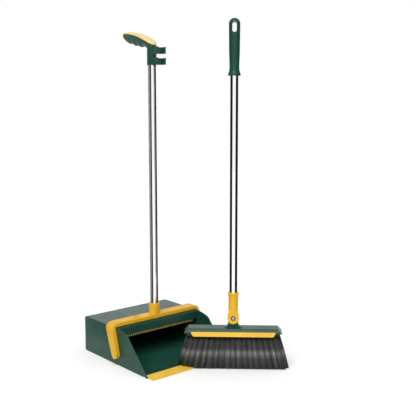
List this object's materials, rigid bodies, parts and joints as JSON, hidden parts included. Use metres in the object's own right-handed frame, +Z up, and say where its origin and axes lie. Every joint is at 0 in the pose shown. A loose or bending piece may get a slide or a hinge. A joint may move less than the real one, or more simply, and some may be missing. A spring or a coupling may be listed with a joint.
{
  "type": "dust pan and brush set",
  "caption": "Upright lobby dust pan with a hooded box scoop, swinging yoke, pole and clip handle, and a swivel-head broom on its own pole standing before its mouth.",
  "frame": {"origin": "centre of the pan's flat underside, on the floor", "axes": "+Z up along the poles, the pan's mouth faces -Y, +X across the pan"},
  "size_m": [0.3414, 0.4823, 0.886],
  "materials": {
    "green_plastic": "satin moulded dark green polypropylene",
    "yellow_plastic": "glossy moulded golden yellow plastic",
    "yellow_rubber": "soft matt yellow thermoplastic rubber",
    "cream_plastic": "matt cream yellow plastic",
    "chrome_tube": "polished chrome-plated steel tube",
    "bristle": "fine dark grey split-end synthetic bristles",
    "dark_plastic": "matt charcoal plastic",
    "screw_steel": "zinc-plated steel"
  },
  "bodies": {
    "pan": {"pan_shell": "green_plastic", "comb_insert": "cream_plastic", "lip_strip": "yellow_rubber"},
    "pan_upright": {"yoke": "yellow_plastic", "pan_pole": "chrome_tube", "pan_pole_plug": "dark_plastic", "yoke_screw": "screw_steel", "clip_sleeve": "green_plastic", "pan_handle": "green_plastic", "handle_pad": "yellow_rubber"},
    "broom_head": {"head_cover": "green_plastic", "bristle_block": "dark_plastic", "block_screws": "screw_steel", "front_bumper": "yellow_rubber", "rear_bumper": "yellow_rubber", "front_bristles": "bristle", "middle_bristles": "bristle", "rear_bristles": "bristle"},
    "broom_upright": {"swivel_socket": "yellow_plastic", "pivot_screw": "screw_steel", "pivot_washer": "dark_plastic", "pivot_nut": "screw_steel", "broom_pole": "chrome_tube", "broom_pole_plug": "dark_plastic", "socket_screw": "screw_steel", "broom_grip": "green_plastic"}
  },
  "joints": [
    {"name": "yoke_swing", "type": "hinge", "parent": "pan", "child": "pan_upright", "pos_m": [0, -0.017, 0.03], "axis": [1, 0, 0], "range_deg": [0, 28]},
    {"name": "broom_lift", "type": "slide", "parent": "pan", "child": "broom_head", "axis": [0, 0, 1], "range_m": [0, 0.1]},
    {"name": "broom_swivel", "type": "hinge", "parent": "broom_head", "child": "broom_upright", "pos_m": [0.08, -0.227, 0.134], "axis": [0.682, 0.7314, 0], "range_deg": [-90, 90]}
  ]
}
